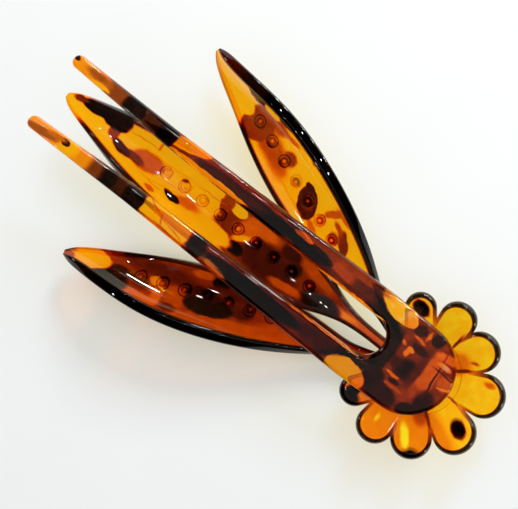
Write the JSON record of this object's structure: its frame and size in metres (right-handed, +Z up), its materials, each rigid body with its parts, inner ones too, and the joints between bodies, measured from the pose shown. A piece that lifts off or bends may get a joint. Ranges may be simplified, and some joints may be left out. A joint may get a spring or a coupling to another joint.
{
  "type": "hair fork",
  "caption": "Pronged hair fork in glossy tortoiseshell plastic, with a daisy flower at its head and long dished leaves set with small cut stones",
  "frame": {"origin": "middle of the footprint, on the surface that the pin lies on", "axes": "+X along the prongs from the flower to the tips, +Y to the left leaf, +Z up, out of the pin's back"},
  "size_m": [0.1196, 0.0588, 0.0173],
  "materials": {
    "tortoiseshell": "polished translucent cellulose acetate, amber clouded with red-brown and near-black",
    "stone": "faceted glass stone, foiled at the back"
  },
  "bodies": {
    "root": {"flower": "tortoiseshell", "flower_button": "tortoiseshell", "fork": "tortoiseshell", "middle_leaf": "tortoiseshell", "left_leaf": "tortoiseshell", "right_leaf": "tortoiseshell", "middle_stone_1": "stone", "middle_stone_2": "stone", "middle_stone_3": "stone", "middle_stone_4": "stone", "middle_stone_5": "stone", "middle_stone_6": "stone", "middle_stone_7": "stone", "middle_stone_8": "stone", "middle_stone_9": "stone", "left_stone_1": "stone", "left_stone_2": "stone", "left_stone_3": "stone", "left_stone_4": "stone", "left_stone_5": "stone", "left_stone_6": "stone", "left_stone_7": "stone", "right_stone_1": "stone", "right_stone_2": "stone", "right_stone_3": "stone", "right_stone_4": "stone", "right_stone_5": "stone", "right_stone_6": "stone", "right_stone_7": "stone"}
  },
  "joints": []
}
